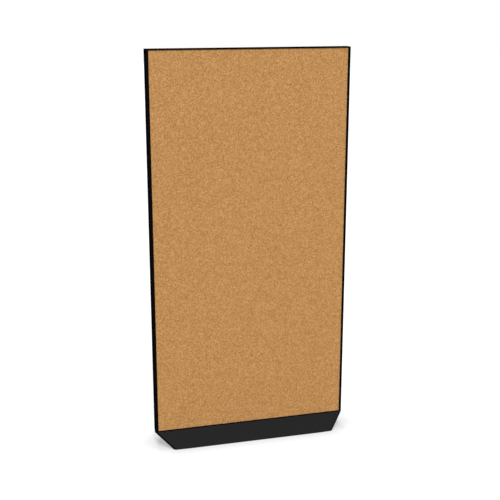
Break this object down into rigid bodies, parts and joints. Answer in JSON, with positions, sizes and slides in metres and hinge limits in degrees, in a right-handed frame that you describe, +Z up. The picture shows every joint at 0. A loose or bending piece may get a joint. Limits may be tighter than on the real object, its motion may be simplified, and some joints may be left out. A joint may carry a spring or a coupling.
{
  "type": "freestanding corkboard",
  "caption": "Tall double-sided cork pin board in a thin black edge profile, standing on a low folded steel base with sloping sides and levelling feet.",
  "frame": {"origin": "on the floor, under the middle of the board", "axes": "+Z up, +X along the board's width to the right as its front is faced, -Y out of the front cork face"},
  "size_m": [1, 0.23, 1.982],
  "materials": {
    "cork": "matte",
    "fibreboard": "matte",
    "timber": "matte",
    "black_profile": "satin",
    "black_screw": "satin",
    "charcoal_steel": "satin",
    "bare_steel": "satin",
    "zinc_steel": "gloss",
    "black_rubber": "matte"
  },
  "bodies": {
    "board": {"front_cork_sheet": "cork", "rear_cork_sheet": "cork", "front_backing_board": "fibreboard", "rear_backing_board": "fibreboard", "left_stile": "black_profile", "right_stile": "black_profile", "top_cap": "black_profile", "bottom_cap": "black_profile", "left_batten": "timber", "right_batten": "timber", "left_post": "bare_steel", "right_post": "bare_steel", "bottom_crossbar": "bare_steel", "lower_crossbar": "bare_steel", "upper_crossbar": "bare_steel", "top_crossbar": "bare_steel", "left_post_plug": "bare_steel", "right_post_plug": "bare_steel", "left_stile_screw_1": "black_screw", "left_stile_screw_2": "black_screw", "left_stile_screw_3": "black_screw", "left_stile_screw_4": "black_screw", "right_stile_screw_1": "black_screw", "right_stile_screw_2": "black_screw", "right_stile_screw_3": "black_screw", "right_stile_screw_4": "black_screw", "top_cap_screw_1": "black_screw", "top_cap_screw_2": "black_screw", "bottom_cap_screw_1": "black_screw", "bottom_cap_screw_2": "black_screw", "front_wing": "charcoal_steel", "rear_wing": "charcoal_steel", "saddle_plate": "charcoal_steel", "left_end_rib": "charcoal_steel", "left_inner_rib": "charcoal_steel", "right_inner_rib": "charcoal_steel", "right_end_rib": "charcoal_steel", "floor_plate": "charcoal_steel", "panel_bolt_1": "zinc_steel", "panel_bolt_2": "zinc_steel", "panel_bolt_3": "zinc_steel", "panel_bolt_4": "zinc_steel", "bolt_washer_1": "zinc_steel", "bolt_washer_2": "zinc_steel", "bolt_washer_3": "zinc_steel", "bolt_washer_4": "zinc_steel", "front_left_nut": "zinc_steel", "front_right_nut": "zinc_steel", "rear_left_nut": "zinc_steel", "rear_right_nut": "zinc_steel"},
    "front_left_foot": {"front_left_pad": "black_rubber", "front_left_stem": "zinc_steel"},
    "front_right_foot": {"front_right_pad": "black_rubber", "front_right_stem": "zinc_steel"},
    "rear_left_foot": {"rear_left_pad": "black_rubber", "rear_left_stem": "zinc_steel"},
    "rear_right_foot": {"rear_right_pad": "black_rubber", "rear_right_stem": "zinc_steel"}
  },
  "joints": [
    {"name": "front_left_foot_screw", "type": "slide", "parent": "board", "child": "front_left_foot", "axis": [0, 0, -1], "range_m": [0, 0.01]},
    {"name": "front_right_foot_screw", "type": "slide", "parent": "board", "child": "front_right_foot", "axis": [0, 0, -1], "range_m": [0, 0.01]},
    {"name": "rear_left_foot_screw", "type": "slide", "parent": "board", "child": "rear_left_foot", "axis": [0, 0, -1], "range_m": [0, 0.01]},
    {"name": "rear_right_foot_screw", "type": "slide", "parent": "board", "child": "rear_right_foot", "axis": [0, 0, -1], "range_m": [0, 0.01]}
  ]
}
